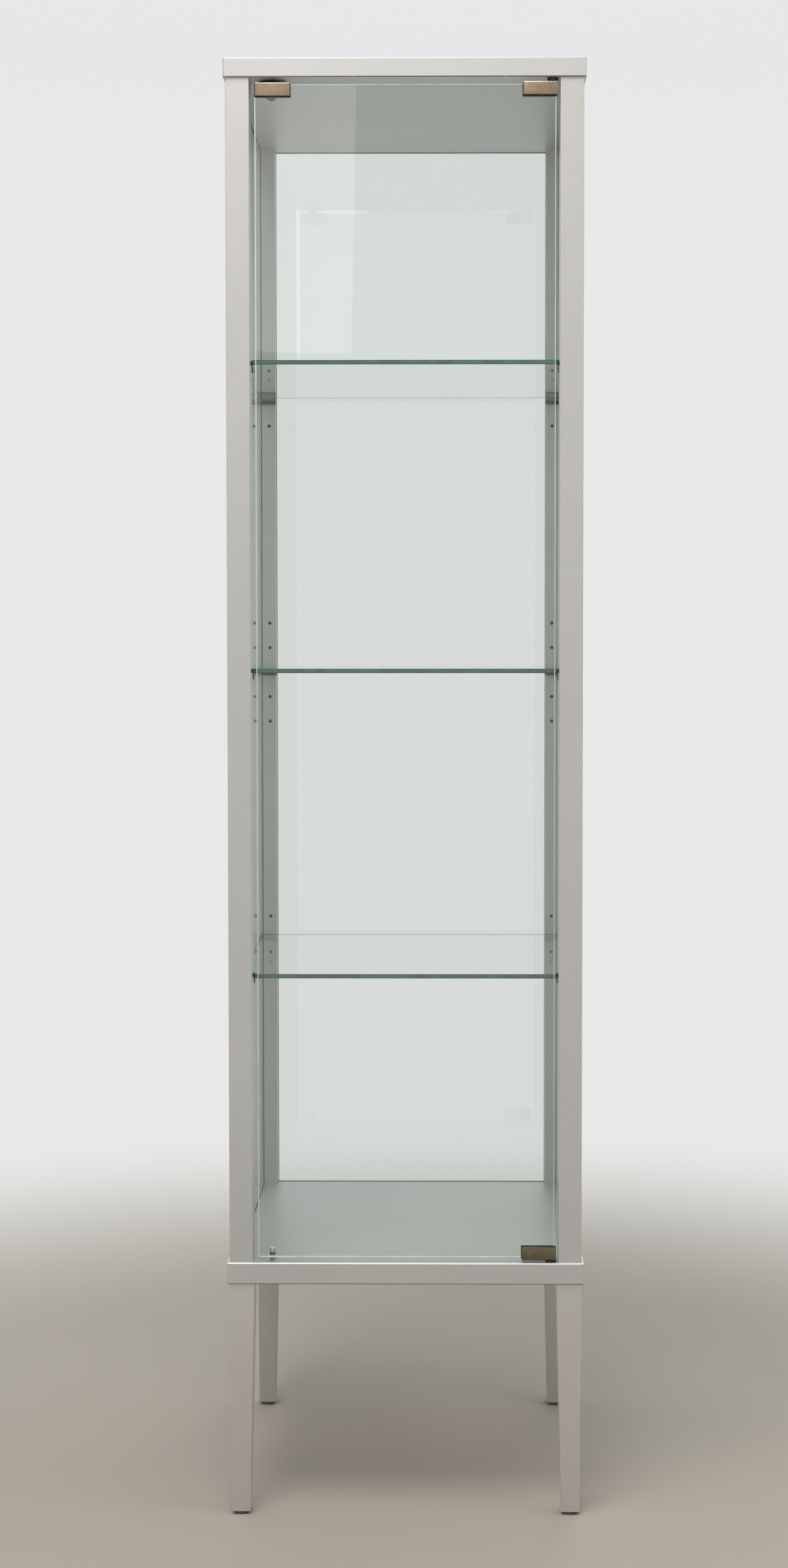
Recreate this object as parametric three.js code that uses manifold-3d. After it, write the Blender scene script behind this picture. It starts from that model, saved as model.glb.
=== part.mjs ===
// Glass display showcase: a square case of glass between four lacquered posts, on four tapered
// legs, with a frameless pivot-hung glass door and three glass shelves on plug-in supports.
//
// Millimetres, +Z up. The origin is on the ground under the middle of the case, the front of the
// case faces -Y, and left and right are as seen from the front.

import * as THREE from 'three';
import { mergeVertices } from 'three/addons/utils/BufferGeometryUtils.js';
import Module from 'manifold-3d';

const wasm = await Module();
wasm.setup();

// ---------------------------------------------------------------- driving dimensions

// Case
const OUTER = 406; // across the outer faces of the posts, both ways
const POST = 27; // side of the square posts
const OVERHANG = 2.5; // how far the top and base panels stand proud of the posts
const LEG_HEIGHT = 271; // ground to the underside of the base panel, glide included
const BASE_THICKNESS = 25;
const INNER_HEIGHT = 1352; // floor of the case to its ceiling
const TOP_THICKNESS = 22;
const PANEL_EASE = 1.2; // rounded edges of the panels
const POST_EASE = 1; // rounded edges of the posts
const TENON = { radius: 6, length: 12, slack: 0.3 }; // round tenon on each end of a post

const HALF = OUTER / 2;
const OPENING = HALF - POST; // half the clear width between two posts
const FRONT = -HALF; // plane of the posts' front faces
const FLOOR_Z = LEG_HEIGHT + BASE_THICKNESS;
const CEILING_Z = FLOOR_Z + INNER_HEIGHT;

// Glass
const GLASS = 5; // thickness of every pane
const GLASS_INSET = 4; // outer face of a fixed pane to the outer face of the posts
const GLASS_ARRIS = 0.5; // flat ground on the free edges of door and shelves
const GROOVE = { slack: 0.3, post: 6, ceiling: 6, floor: 4 }; // grooves that hold the panes

const PANE_OUTER = HALF - GLASS_INSET;
const PANE_INNER = PANE_OUTER - GLASS;

// Shelves and their supports, in the 32 mm hole system
const PITCH = 32;
const PIN_FROM_EDGE = 8; // hole axis to the inner edge of its post
const PIN_RADIUS = 2;
const PIN_DEPTH = 9;
const PIN_SEGMENTS = 16;
const HOLE = { radius: 2.2, depth: 10 };
const SHELVES = [
  { name: 'upper', steps: 11, holes: 1 },
  { name: 'middle', steps: 0, holes: 2 },
  { name: 'lower', steps: -11, holes: 1 },
]; // steps from mid height, and spare holes above and below the one in use
const SADDLE = { width: 18.6, depth: 12, above: 2.9, below: 4.2 }; // about the pin's axis
const PAD = 0.6; // soft pad between saddle and shelf
const SHELF_FRONT = 14; // shelf's front edge behind the front plane
const SHELF_GAP = { post: 0.5, pane: 0.7 };

const PIN_X = OPENING + PIN_FROM_EDGE;

// Door
const DOOR = { left: -170, right: 171.5, bottom: FLOOR_Z + 5, top: CEILING_Z - 6.8, recess: 3 };
const PIVOT_X = 167.5;
const DOOR_BACK = FRONT + DOOR.recess + GLASS;
const PIVOT_Y = DOOR_BACK - GLASS / 2;
const LINER_GAP = 0.05; // left free on each face of a liner

// Pivot clamps at the door's right corners
const LINER = 0.5;
const CLAMP = { left: 134, right: 173.5, height: 15.6, front: 2.2, back: 3.6, web: 2.1, ease: 0.7 };
const SLOT = GLASS + 2 * (LINER + 2 * LINER_GAP);
const PIVOT = { radius: 3, spigot: 1.9, tip: 0.5, reach: 6.5, segments: 20 };
const BUSH = { bore: 3.15, collar: 4.2, flange: 6.2, flangeHeight: 2.2, depth: 8 };
const GRUB = { radius: 2, length: 3.2, socket: 1.1, x: 149 };

// Strike clip on the door's upper left corner, and the touch catch behind it
const STRIKE = { left: -169.6, right: -129.8, height: 15.5, sheet: 1.2 };
const CATCH = { x: -151.5, flange: 16.7, plate: 5, web: 8, drop: 18 };
const BARREL = { radius: 6.25, length: 11.5, bore: 4.6, boreDepth: 9.5 };
const PLUNGER = { radius: 4.3, length: 9.6, standOff: 4.2, springBore: 3.4, springDepth: 5 };
const MAGNET = { radius: 3.7, length: 2.8 };
const SPRING = { radius: 2.5, wire: 0.35, turns: 4, steps: 10, gap: 0.3 };
const CATCH_SCREW = { shank: 1.6, head: 3.4, headHeight: 2, length: 15, spread: 11.3 };

// Stop pin behind the door's lower left corner
const STOP = { x: -154.3, behind: 3.6, radius: 3, height: 14.4, spigot: 2, depth: 8 };
const BUMPER = { height: 7, ring: 1, outer: 3.7 };

// Legs and feet
const LEG = { top: 29, bottom: 21.5, outerTaper: 1.5, ease: 1.2 };
const GLIDE = { radius: 10, thickness: 3.7, gap: 0.3, spike: 1.4, spikeLength: 12 };
const LEG_BOLT = { radius: 4, root: 3.4, inLeg: 30, inBase: 11, threadPitch: 7 };

const SIDES = [['left', -1], ['right', 1]];
const ENDS = [['front', -1], ['rear', 1]];

// ---------------------------------------------------------------- finishes

const FINISHES = {
  lacquer: { color: 0xc4c1be, roughness: 0.42, metalness: 0.55 },
  glass: { color: 0xd9ece6, roughness: 0.03, metalness: 0, transparent: true, opacity: 0.3 },
  bronze: { color: 0xb29b80, roughness: 0.3, metalness: 1 },
  steel: { color: 0x9a9690, roughness: 0.28, metalness: 1 },
  blackPlastic: { color: 0x1a1a1c, roughness: 0.5, metalness: 0 },
  rubber: { color: 0x2a2826, roughness: 0.85, metalness: 0 },
};

// ---------------------------------------------------------------- helpers

const showcase = new THREE.Group();

function addPart(name, finish, geometry, position = [0, 0, 0], turn = 0) {
  const mesh = new THREE.Mesh(geometry, new THREE.MeshStandardMaterial(FINISHES[finish]));
  mesh.name = name;
  mesh.position.set(...position);
  mesh.rotation.z = turn;
  showcase.add(mesh);
}

function toSolid(geometry) {
  const bare = geometry.clone();
  bare.deleteAttribute('normal');
  bare.deleteAttribute('uv');
  const merged = mergeVertices(bare, 1e-4);
  return new wasm.Manifold(new wasm.Mesh({
    numProp: 3,
    vertProperties: new Float32Array(merged.attributes.position.array),
    triVerts: new Uint32Array(merged.index.array),
  }));
}

function toGeometry(solid) {
  const mesh = solid.getMesh();
  const geometry = new THREE.BufferGeometry();
  geometry.setAttribute('position', new THREE.BufferAttribute(mesh.vertProperties, 3));
  geometry.setIndex(new THREE.BufferAttribute(mesh.triVerts, 1));
  geometry.computeVertexNormals();
  return geometry;
}

function combine(base, { add = [], cut = [] }) {
  let solid = toSolid(base);
  for (const piece of add) solid = solid.add(toSolid(piece));
  for (const piece of cut) solid = solid.subtract(toSolid(piece));
  return toGeometry(solid);
}

// A box between two opposite corners.
function block([x0, y0, z0], [x1, y1, z1]) {
  const box = new THREE.BoxGeometry(Math.abs(x1 - x0), Math.abs(y1 - y0), Math.abs(z1 - z0));
  return box.translate((x0 + x1) / 2, (y0 + y1) / 2, (z0 + z1) / 2);
}

// A cylinder standing on the origin along +Z.
function rod(radius, length, segments = 12) {
  const cylinder = new THREE.CylinderGeometry(radius, radius, length, segments);
  return cylinder.rotateX(Math.PI / 2).translate(0, 0, length / 2);
}

// A rod that starts at the origin and runs along +Y.
function rodAlongY(radius, length, segments = 12) {
  return rod(radius, length, segments).rotateX(-Math.PI / 2);
}

// A solid of revolution about +Z from [radius, height] points that start and end on the axis.
function turned(points, segments = 12) {
  const profile = points.map(([radius, height]) => new THREE.Vector2(radius, height));
  return new THREE.LatheGeometry(profile, segments).rotateX(Math.PI / 2);
}

function roundedRectangle(width, height, radius) {
  const [x, y] = [width / 2, height / 2];
  const shape = new THREE.Shape();
  shape.absarc(x - radius, y - radius, radius, 0, Math.PI / 2);
  shape.absarc(-x + radius, y - radius, radius, Math.PI / 2, Math.PI);
  shape.absarc(-x + radius, -y + radius, radius, Math.PI, 1.5 * Math.PI);
  shape.absarc(x - radius, -y + radius, radius, 1.5 * Math.PI, 2 * Math.PI);
  return shape;
}

// A plate with eased edges, standing on z = 0.
function plate(shape, thickness, ease, easeSteps = 2, curveSteps = 3) {
  const extruded = new THREE.ExtrudeGeometry(shape, {
    depth: thickness - 2 * ease,
    curveSegments: curveSteps,
    bevelEnabled: true,
    bevelThickness: ease,
    bevelSize: ease,
    bevelOffset: -ease,
    bevelSegments: easeSteps,
  });
  return extruded.translate(0, 0, ease);
}

// ---------------------------------------------------------------- case

// Groove in a panel for each fixed pane: two along Y at the sides, one along X at the back.
function panelGrooves(z0, z1) {
  const [near, far] = [PANE_INNER - GROOVE.slack, PANE_OUTER + GROOVE.slack];
  const reach = OPENING + GROOVE.post + GROOVE.slack;
  const sides = SIDES.map(([, sx]) => block([sx * near, -reach, z0], [sx * far, reach, z1]));
  return [...sides, block([-reach, near, z0], [reach, far, z1])];
}

// Something repeated at the four corners, on the axes of the posts.
function atPosts(make) {
  const centre = HALF - POST / 2;
  const along = ([, sy]) => SIDES.map(([, sx]) => make().translate(sx * centre, sy * centre, 0));
  return ENDS.flatMap(along);
}

function panelSlab(thickness) {
  const side = OUTER + 2 * OVERHANG;
  return plate(roundedRectangle(side, side, 2), thickness, PANEL_EASE);
}

function topPanel() {
  const sockets = atPosts(() => rod(TENON.radius + TENON.slack, TENON.length + 1 + TENON.slack)
    .translate(0, 0, -1));
  const bushHole = rod(BUSH.collar + 0.2, BUSH.depth + 1.3).translate(PIVOT_X, PIVOT_Y, -1);
  const screwHoles = [-1, 1].map((sx) => rod(CATCH_SCREW.shank + 0.2, CATCH_SCREW.length)
    .translate(CATCH.x + sx * CATCH_SCREW.spread, catchMiddleY(), -1));
  return combine(panelSlab(TOP_THICKNESS), {
    cut: [...panelGrooves(-1, GROOVE.ceiling), ...sockets, bushHole, ...screwHoles],
  });
}

function basePanel() {
  const t = BASE_THICKNESS;
  const sockets = atPosts(() => rod(TENON.radius + TENON.slack, TENON.length + 1 + TENON.slack)
    .translate(0, 0, t - TENON.length - TENON.slack));
  const bushHole = rod(BUSH.collar + 0.2, BUSH.depth + 1.3)
    .translate(PIVOT_X, PIVOT_Y, t - BUSH.depth - 0.3);
  const stopHole = rod(STOP.spigot + 0.2, STOP.depth + 1.3)
    .translate(STOP.x, stopY(), t - STOP.depth - 0.3);
  const boltHoles = ENDS.flatMap(([, sy]) => SIDES.map(([, sx]) => rod(
    LEG_BOLT.radius + 0.3,
    LEG_BOLT.inBase + 1.3,
  ).translate(sx * legTopCentre(), sy * legTopCentre(), -1)));
  return combine(panelSlab(t), {
    cut: [...panelGrooves(t - GROOVE.floor, t + 1), ...sockets, bushHole, stopHole, ...boltHoles],
  });
}

// A post about its own axis: sx and sy point from the middle of the case to its corner.
function post(sx, sy) {
  const shaft = new THREE.ExtrudeGeometry(roundedRectangle(POST, POST, POST_EASE), {
    depth: INNER_HEIGHT,
    curveSegments: 3,
    bevelEnabled: false,
  });
  const tenons = [-TENON.length, INNER_HEIGHT - 1].map((z) => rod(TENON.radius, TENON.length + 1)
    .translate(0, 0, z));
  const centre = HALF - POST / 2;
  const [near, far] = [PANE_INNER - GROOVE.slack - centre, PANE_OUTER + GROOVE.slack - centre];
  const mouth = -POST / 2 - 1;
  const bottom = mouth + 1 + GROOVE.post + GROOVE.slack;
  const end = INNER_HEIGHT + 1;
  const sideGroove = block([sx * near, sy * mouth, -1], [sx * far, sy * bottom, end]);
  const backGroove = block([sx * mouth, near, -1], [sx * bottom, far, end]);
  const grooves = sy > 0 ? [sideGroove, backGroove] : [sideGroove];
  const holes = SHELVES.flatMap(({ steps, holes: spare }) => {
    const rows = Array.from({ length: 2 * spare + 1 }, (_, row) => row - spare);
    return rows.map((row) => pinHole(sx, sy).translate(0, 0, pinHeight(steps + row) - FLOOR_Z));
  });
  return combine(shaft, { add: tenons, cut: [...grooves, ...holes] });
}

// Shelf pin hole in the face of a post that looks along the case, about the post's axis.
function pinHole(sx, sy) {
  const hole = rodAlongY(HOLE.radius, HOLE.depth + 1, PIN_SEGMENTS);
  if (sy < 0) hole.rotateZ(Math.PI);
  return hole.translate(sx * (PIN_FROM_EDGE - POST / 2), sy * (-POST / 2 - 1), 0);
}

function pinHeight(steps) {
  return FLOOR_Z + INNER_HEIGHT / 2 + steps * PITCH;
}

function addCase() {
  const centre = HALF - POST / 2;
  addPart('base_panel', 'lacquer', basePanel(), [0, 0, LEG_HEIGHT]);
  addPart('top_panel', 'lacquer', topPanel(), [0, 0, CEILING_Z]);
  for (const [end, sy] of ENDS) {
    for (const [side, sx] of SIDES) {
      addPart(`post_${end}_${side}`, 'lacquer', post(sx, sy), [sx * centre, sy * centre, FLOOR_Z]);
    }
  }
}

// ---------------------------------------------------------------- fixed glass

function addFixedGlass() {
  const span = 2 * (OPENING + GROOVE.post - GROOVE.slack);
  const bottom = FLOOR_Z - GROOVE.floor + GROOVE.slack;
  const height = CEILING_Z + GROOVE.ceiling - 1 - bottom;
  const middle = (PANE_INNER + PANE_OUTER) / 2;
  const z = bottom + height / 2;
  for (const [side, sx] of SIDES) {
    const pane = new THREE.BoxGeometry(GLASS, span, height);
    addPart(`side_glass_${side}`, 'glass', pane, [sx * middle, 0, z]);
  }
  addPart('back_glass', 'glass', new THREE.BoxGeometry(span, GLASS, height), [0, middle, z]);
}

// ---------------------------------------------------------------- shelves

// The shelf reaches sideways behind the front posts and forwards between them.
function shelfGlass() {
  const tongue = OPENING - SHELF_GAP.post;
  const wide = PANE_INNER - SHELF_GAP.pane;
  const back = OPENING - SHELF_GAP.post;
  const outline = new THREE.Shape([
    new THREE.Vector2(-tongue, FRONT + SHELF_FRONT),
    new THREE.Vector2(tongue, FRONT + SHELF_FRONT),
    new THREE.Vector2(tongue, -back),
    new THREE.Vector2(wide, -back),
    new THREE.Vector2(wide, back),
    new THREE.Vector2(-wide, back),
    new THREE.Vector2(-wide, -back),
    new THREE.Vector2(-tongue, -back),
  ]);
  return plate(outline, GLASS, GLASS_ARRIS, 1);
}

// Cast support: a saddle with a flat top and a round belly, and the pin that plugs into the post.
// It stands out along +Y from the origin, which is the mouth of its hole.
function shelfSupport() {
  const { width, depth, above, below } = SADDLE;
  const gap = 0.1;
  const belly = new THREE.Shape();
  belly.moveTo(gap, above);
  belly.lineTo(gap, -below);
  belly.lineTo(depth * 0.45, -below);
  belly.quadraticCurveTo(depth, -below, depth, above - 1.6);
  belly.lineTo(depth, above);
  belly.closePath();
  const saddle = new THREE.ExtrudeGeometry(belly, {
    depth: width - 1,
    curveSegments: 6,
    bevelThickness: 0.5,
    bevelSize: 0.5,
    bevelOffset: -0.5,
    bevelSegments: 1,
  });
  saddle.translate(0, 0, 0.5 - width / 2);
  const alongX = new THREE.Matrix4().makeBasis(
    new THREE.Vector3(0, 1, 0),
    new THREE.Vector3(0, 0, 1),
    new THREE.Vector3(1, 0, 0),
  );
  const pin = rodAlongY(PIN_RADIUS, PIN_DEPTH + 2, PIN_SEGMENTS).translate(0, -PIN_DEPTH, 0);
  return combine(saddle.applyMatrix4(alongX), { add: [pin] });
}

function addShelves() {
  for (const { name, steps } of SHELVES) {
    const pinZ = pinHeight(steps);
    addPart(`shelf_${name}`, 'glass', shelfGlass(), [0, 0, pinZ + SADDLE.above + PAD]);
    for (const [end, sy] of ENDS) {
      for (const [side, sx] of SIDES) {
        const turn = sy < 0 ? 0 : Math.PI;
        const place = [sx * PIN_X, sy * OPENING, pinZ];
        addPart(`support_${name}_${end}_${side}`, 'bronze', shelfSupport(), place, turn);
      }
    }
  }
}

// ---------------------------------------------------------------- door and its pivots

// Lays a plate drawn in XZ upright, with its front face on the plane y.
function upright(geometry, thickness, y) {
  return geometry.rotateX(Math.PI / 2).translate(0, y + thickness, 0);
}

function doorGlass() {
  const width = DOOR.right - DOOR.left;
  const height = DOOR.top - DOOR.bottom;
  return upright(plate(roundedRectangle(width, height, 1.5), GLASS, GLASS_ARRIS, 1), GLASS, -GLASS / 2);
}

// Clamp body for the door's upper right corner, about the pivot axis, with the edge of the glass
// at z = 0: two cheeks and a web over the edge. The slot is open below and towards the left.
function clampBody() {
  const { left, right, height, front, back, web, ease } = CLAMP;
  const width = right - left;
  const depth = front + SLOT + back;
  const top = LINER + 2 * LINER_GAP + web;
  const outline = roundedRectangle(width, height, 1.4);
  const outer = upright(plate(outline, depth, ease, 1), depth, -SLOT / 2 - front);
  outer.translate((left + right) / 2 - PIVOT_X, 0, top - height / 2);
  const slot = block(
    [left - 1 - PIVOT_X, -SLOT / 2, top - height - 1],
    [DOOR.right + 0.4 - PIVOT_X, SLOT / 2, top - web],
  );
  const spigotHole = rod(PIVOT.spigot + 0.1, web + 2).translate(0, 0, top - web - 1);
  const screwHole = rodAlongY(GRUB.radius + 0.15, back + 2).translate(
    GRUB.x - PIVOT_X,
    SLOT / 2 - 1,
    top - height * 0.55,
  );
  return combine(outer, { cut: [slot, spigotHole, screwHole] });
}

// U-shaped soft liner between a clip and the edge of the glass, over the length x0 to x1.
function edgeLiner(x0, x1, height) {
  const outer = GLASS / 2 + LINER_GAP + LINER;
  const inner = GLASS / 2 + LINER_GAP;
  return combine(block([x0, -outer, -height], [x1, outer, LINER_GAP + LINER]), {
    cut: [block([x0 - 1, -inner, -height - 1], [x1 + 1, inner, LINER_GAP])],
  });
}

function grubScrew() {
  return combine(rodAlongY(GRUB.radius, GRUB.length), {
    cut: [rodAlongY(GRUB.socket, 2, 6).translate(0, GRUB.length - 1.6, 0)],
  });
}

// Pivot pin standing on a clamp's web: gap is the distance from the web to the panel's face.
function pivotPin(gap) {
  const { radius, spigot, tip, reach, segments } = PIVOT;
  const length = gap + reach;
  return turned([
    [0, -CLAMP.web + 0.1],
    [spigot, -CLAMP.web + 0.1],
    [spigot, 0],
    [radius, 0],
    [radius, length - tip],
    [radius - tip, length],
    [0, length],
  ], segments);
}

// Flanged cup that carries a pivot pin; its flange lies on z = 0 and its cup hangs below.
function pivotBush() {
  const { bore, collar, flange, flangeHeight, depth } = BUSH;
  return turned([
    [0, -depth],
    [collar, -depth],
    [collar, 0],
    [flange, 0],
    [flange, flangeHeight - 0.5],
    [flange - 0.5, flangeHeight],
    [bore, flangeHeight],
    [bore, -depth + 1.2],
    [0, -depth + 1.2],
  ], PIVOT.segments);
}

function addDoor() {
  const middleZ = (DOOR.top + DOOR.bottom) / 2;
  addPart('glass_door', 'glass', doorGlass(), [(DOOR.left + DOOR.right) / 2, PIVOT_Y, middleZ]);
  const clampTop = LINER + 2 * LINER_GAP + CLAMP.web;
  const ends = [
    { name: 'upper', edge: DOOR.top, panel: CEILING_Z, up: 1 },
    { name: 'lower', edge: DOOR.bottom, panel: FLOOR_Z, up: -1 },
  ];
  const linerHeight = CLAMP.height - clampTop - 0.4;
  for (const { name, edge, panel, up } of ends) {
    const gap = Math.abs(panel - edge) - clampTop;
    const flip = (geometry) => (up > 0 ? geometry : toGeometry(toSolid(geometry).mirror([0, 0, 1])));
    const screwZ = edge + up * (clampTop - CLAMP.height * 0.55);
    const liner = edgeLiner(CLAMP.left + 0.6 - PIVOT_X, DOOR.right - PIVOT_X, linerHeight);
    addPart(`hinge_clamp_${name}`, 'bronze', flip(clampBody()), [PIVOT_X, PIVOT_Y, edge]);
    addPart(`hinge_liner_${name}`, 'rubber', flip(liner), [PIVOT_X, PIVOT_Y, edge]);
    addPart(`hinge_screw_${name}`, 'steel', grubScrew(), [GRUB.x, PIVOT_Y + SLOT / 2 + 0.2, screwZ]);
    addPart(`pivot_pin_${name}`, 'steel', flip(pivotPin(gap)), [PIVOT_X, PIVOT_Y, edge + up * clampTop]);
    addPart(`pivot_bush_${name}`, 'blackPlastic', up > 0
      ? toGeometry(toSolid(pivotBush()).mirror([0, 0, 1]))
      : pivotBush(), [PIVOT_X, PIVOT_Y, panel]);
  }
}

// ---------------------------------------------------------------- strike clip and touch catch

// Folded sheet clip over the door's top edge, which is at z = 0.
function strikeClip() {
  const { left, right, height, sheet } = STRIKE;
  const width = right - left;
  const depth = SLOT + 2 * sheet;
  const top = LINER + 2 * LINER_GAP + sheet;
  const outline = roundedRectangle(width, height, 1);
  const outer = upright(plate(outline, depth, 0.4, 1), depth, -depth / 2);
  outer.translate(0, 0, top - height / 2);
  return combine(outer, {
    cut: [block([-width, -SLOT / 2, top - height - 1], [width, SLOT / 2, top - sheet])],
  });
}

function catchFront() {
  return DOOR_BACK + (SLOT - GLASS) / 2 + STRIKE.sheet + 0.3 + PLUNGER.standOff;
}

function catchMiddleY() {
  return catchFront() + CATCH.flange - 1;
}

// Housing under the ceiling: a round screwed flange, a web, and the barrel that guides the plunger.
// The origin is on the ceiling, above the mouth of the barrel.
function catchHousing() {
  const { flange: radius, plate: thickness, web, drop } = CATCH;
  const middle = radius - 1;
  const flange = turned([
    [0, -thickness],
    [radius - 1.5, -thickness],
    [radius, -thickness + 1.5],
    [radius, 0],
    [0, 0],
  ], 40).translate(0, middle, 0);
  const neck = block([-web / 2, 0.5, -drop], [web / 2, BARREL.length - 0.5, -thickness + 1]);
  const tube = rodAlongY(BARREL.radius, BARREL.length, 20).translate(0, 0, -drop);
  const bore = rodAlongY(BARREL.bore, BARREL.boreDepth + 1, 20).translate(0, -1, -drop);
  const screwHoles = [-1, 1].map((sx) => rod(CATCH_SCREW.shank + 0.2, thickness + 2)
    .translate(sx * CATCH_SCREW.spread, middle, -thickness - 1));
  return combine(flange, { add: [neck, tube], cut: [bore, ...screwHoles] });
}

// Plunger along +Y from its tip: a pocket for the magnet in front and for the spring behind.
function catchPlunger() {
  const { radius, length, springBore, springDepth } = PLUNGER;
  const pocket = rodAlongY(MAGNET.radius + 0.1, MAGNET.length + 1, 16).translate(0, -1, 0);
  const seat = rodAlongY(springBore, springDepth + 1, 16).translate(0, length - springDepth, 0);
  return combine(rodAlongY(radius, length, 20), { cut: [pocket, seat] });
}

// Helical spring along +Y with its first end at the origin.
function catchSpring() {
  const length = BARREL.boreDepth + PLUNGER.standOff - PLUNGER.length + PLUNGER.springDepth
    - 2 * SPRING.gap;
  const rise = length - 2 * SPRING.wire;
  const count = SPRING.turns * SPRING.steps;
  const points = Array.from({ length: count + 1 }, (_, step) => {
    const angle = (2 * Math.PI * step) / SPRING.steps;
    const y = SPRING.wire + (rise * step) / count;
    return new THREE.Vector3(SPRING.radius * Math.cos(angle), y, SPRING.radius * Math.sin(angle));
  });
  const wire = new THREE.Shape();
  wire.absarc(0, 0, SPRING.wire, 0, 2 * Math.PI);
  return new THREE.ExtrudeGeometry(wire, {
    steps: count,
    curveSegments: 3,
    extrudePath: new THREE.CatmullRomCurve3(points),
  });
}

// Pan-head screw that points up, with its head under z = 0.
function catchScrew() {
  const { shank, head, headHeight, length } = CATCH_SCREW;
  const body = turned([
    [0, -headHeight],
    [head * 0.7, -headHeight],
    [head, -headHeight * 0.5],
    [head, 0],
    [shank, 0],
    [shank, length - 2],
    [0, length],
  ]);
  const recess = [0, Math.PI / 2].map((angle) => block([-1.8, -0.35, -headHeight - 1], [1.8, 0.35, -0.9])
    .rotateZ(angle));
  return combine(body, { cut: recess });
}

function addCatch() {
  const front = catchFront();
  const barrelZ = CEILING_Z - CATCH.drop;
  const tip = front - PLUNGER.standOff;
  const strikeX = (STRIKE.left + STRIKE.right) / 2;
  const linerHalf = (STRIKE.right - STRIKE.left) / 2 - 0.4;
  const linerHeight = STRIKE.height - STRIKE.sheet - LINER - 0.5;
  addPart('strike_clip', 'bronze', strikeClip(), [strikeX, PIVOT_Y, DOOR.top]);
  addPart('strike_liner', 'rubber', edgeLiner(-linerHalf, linerHalf, linerHeight), [
    strikeX,
    PIVOT_Y,
    DOOR.top,
  ]);
  addPart('catch_housing', 'blackPlastic', catchHousing(), [CATCH.x, front, CEILING_Z]);
  addPart('catch_plunger', 'blackPlastic', catchPlunger(), [CATCH.x, tip, barrelZ]);
  addPart('catch_magnet', 'steel', rodAlongY(MAGNET.radius, MAGNET.length - 0.1, 16), [
    CATCH.x,
    tip,
    barrelZ,
  ]);
  addPart('catch_spring', 'steel', catchSpring(), [
    CATCH.x,
    tip + PLUNGER.length - PLUNGER.springDepth + SPRING.gap,
    barrelZ,
  ]);
  for (const [side, sx] of SIDES) {
    const place = [CATCH.x + sx * CATCH_SCREW.spread, catchMiddleY(), CEILING_Z - CATCH.plate - 0.1];
    addPart(`catch_screw_${side}`, 'steel', catchScrew(), place);
  }
}

// ---------------------------------------------------------------- door stop

function stopY() {
  return DOOR_BACK + STOP.behind + BUMPER.outer;
}

function addStop() {
  const { radius, height, spigot, depth } = STOP;
  const waist = BUMPER.outer - 2 * BUMPER.ring - 0.1;
  const pin = turned([
    [0, -depth],
    [spigot, -depth],
    [spigot, 0],
    [radius, 0],
    [radius, BUMPER.height - BUMPER.ring - 0.1],
    [waist, BUMPER.height - BUMPER.ring - 0.1],
    [waist, BUMPER.height + BUMPER.ring + 0.1],
    [radius, BUMPER.height + BUMPER.ring + 0.1],
    [radius, height - 0.8],
    [radius - 0.8, height],
    [0, height],
  ], 20);
  const ring = new THREE.TorusGeometry(BUMPER.outer - BUMPER.ring, BUMPER.ring, 8, 16);
  addPart('stop_pin', 'steel', pin, [STOP.x, stopY(), FLOOR_Z]);
  addPart('stop_bumper', 'rubber', ring, [STOP.x, stopY(), FLOOR_Z + BUMPER.height]);
}

// ---------------------------------------------------------------- legs and feet

// Distance of a leg's top centre from the middle of the case; its outer faces line up with the posts.
function legTopCentre() {
  return HALF - LEG.top / 2;
}

function legBottomCentre() {
  return HALF - LEG.outerTaper - LEG.bottom / 2;
}

// Square leg that tapers more on its inner faces, about the axis of its top, standing on z = 0.
function leg(sx, sy) {
  const height = LEG_HEIGHT - GLIDE.thickness - GLIDE.gap;
  const shaft = new THREE.ExtrudeGeometry(roundedRectangle(LEG.top, LEG.top, LEG.ease), {
    depth: height,
    curveSegments: 3,
    bevelEnabled: false,
  });
  const shift = legBottomCentre() - legTopCentre();
  const corners = shaft.attributes.position;
  for (let i = 0; i < corners.count; i += 1) {
    const drop = 1 - corners.getZ(i) / height;
    const scale = 1 - drop * (1 - LEG.bottom / LEG.top);
    corners.setX(i, corners.getX(i) * scale + sx * shift * drop);
    corners.setY(i, corners.getY(i) * scale + sy * shift * drop);
  }
  const boltHole = rod(LEG_BOLT.radius + 0.3, LEG_BOLT.inLeg + 2)
    .translate(0, 0, height - LEG_BOLT.inLeg - 0.5);
  const spikeHole = rod(GLIDE.spike + 0.3, GLIDE.spikeLength + 1, 10)
    .translate(sx * shift, sy * shift, -1);
  return combine(shaft, { cut: [boltHole, spikeHole] });
}

// Round glide on a spike, standing on z = 0.
function glide() {
  const { radius, thickness, spike, spikeLength } = GLIDE;
  return turned([
    [0, 0],
    [radius - 0.8, 0],
    [radius, 0.8],
    [radius, thickness - 0.4],
    [radius - 0.4, thickness],
    [spike, thickness],
    [spike, thickness + spikeLength - 2],
    [0, thickness + spikeLength - 0.5],
  ], 20);
}

// Hanger bolt along +Z with the joint between leg and base panel at z = 0.
function legBolt() {
  const { radius, root, inLeg, inBase, threadPitch } = LEG_BOLT;
  const thread = [];
  for (let z = -inLeg + 2; z < inBase - threadPitch; z += threadPitch) {
    thread.push([root, z], [radius, z + threadPitch * 0.35], [radius, z + threadPitch * 0.65]);
  }
  const end = inBase - 0.5;
  return turned([[0, -inLeg], [root - 1, -inLeg], ...thread, [root, end], [0, end]], 10);
}

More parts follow.
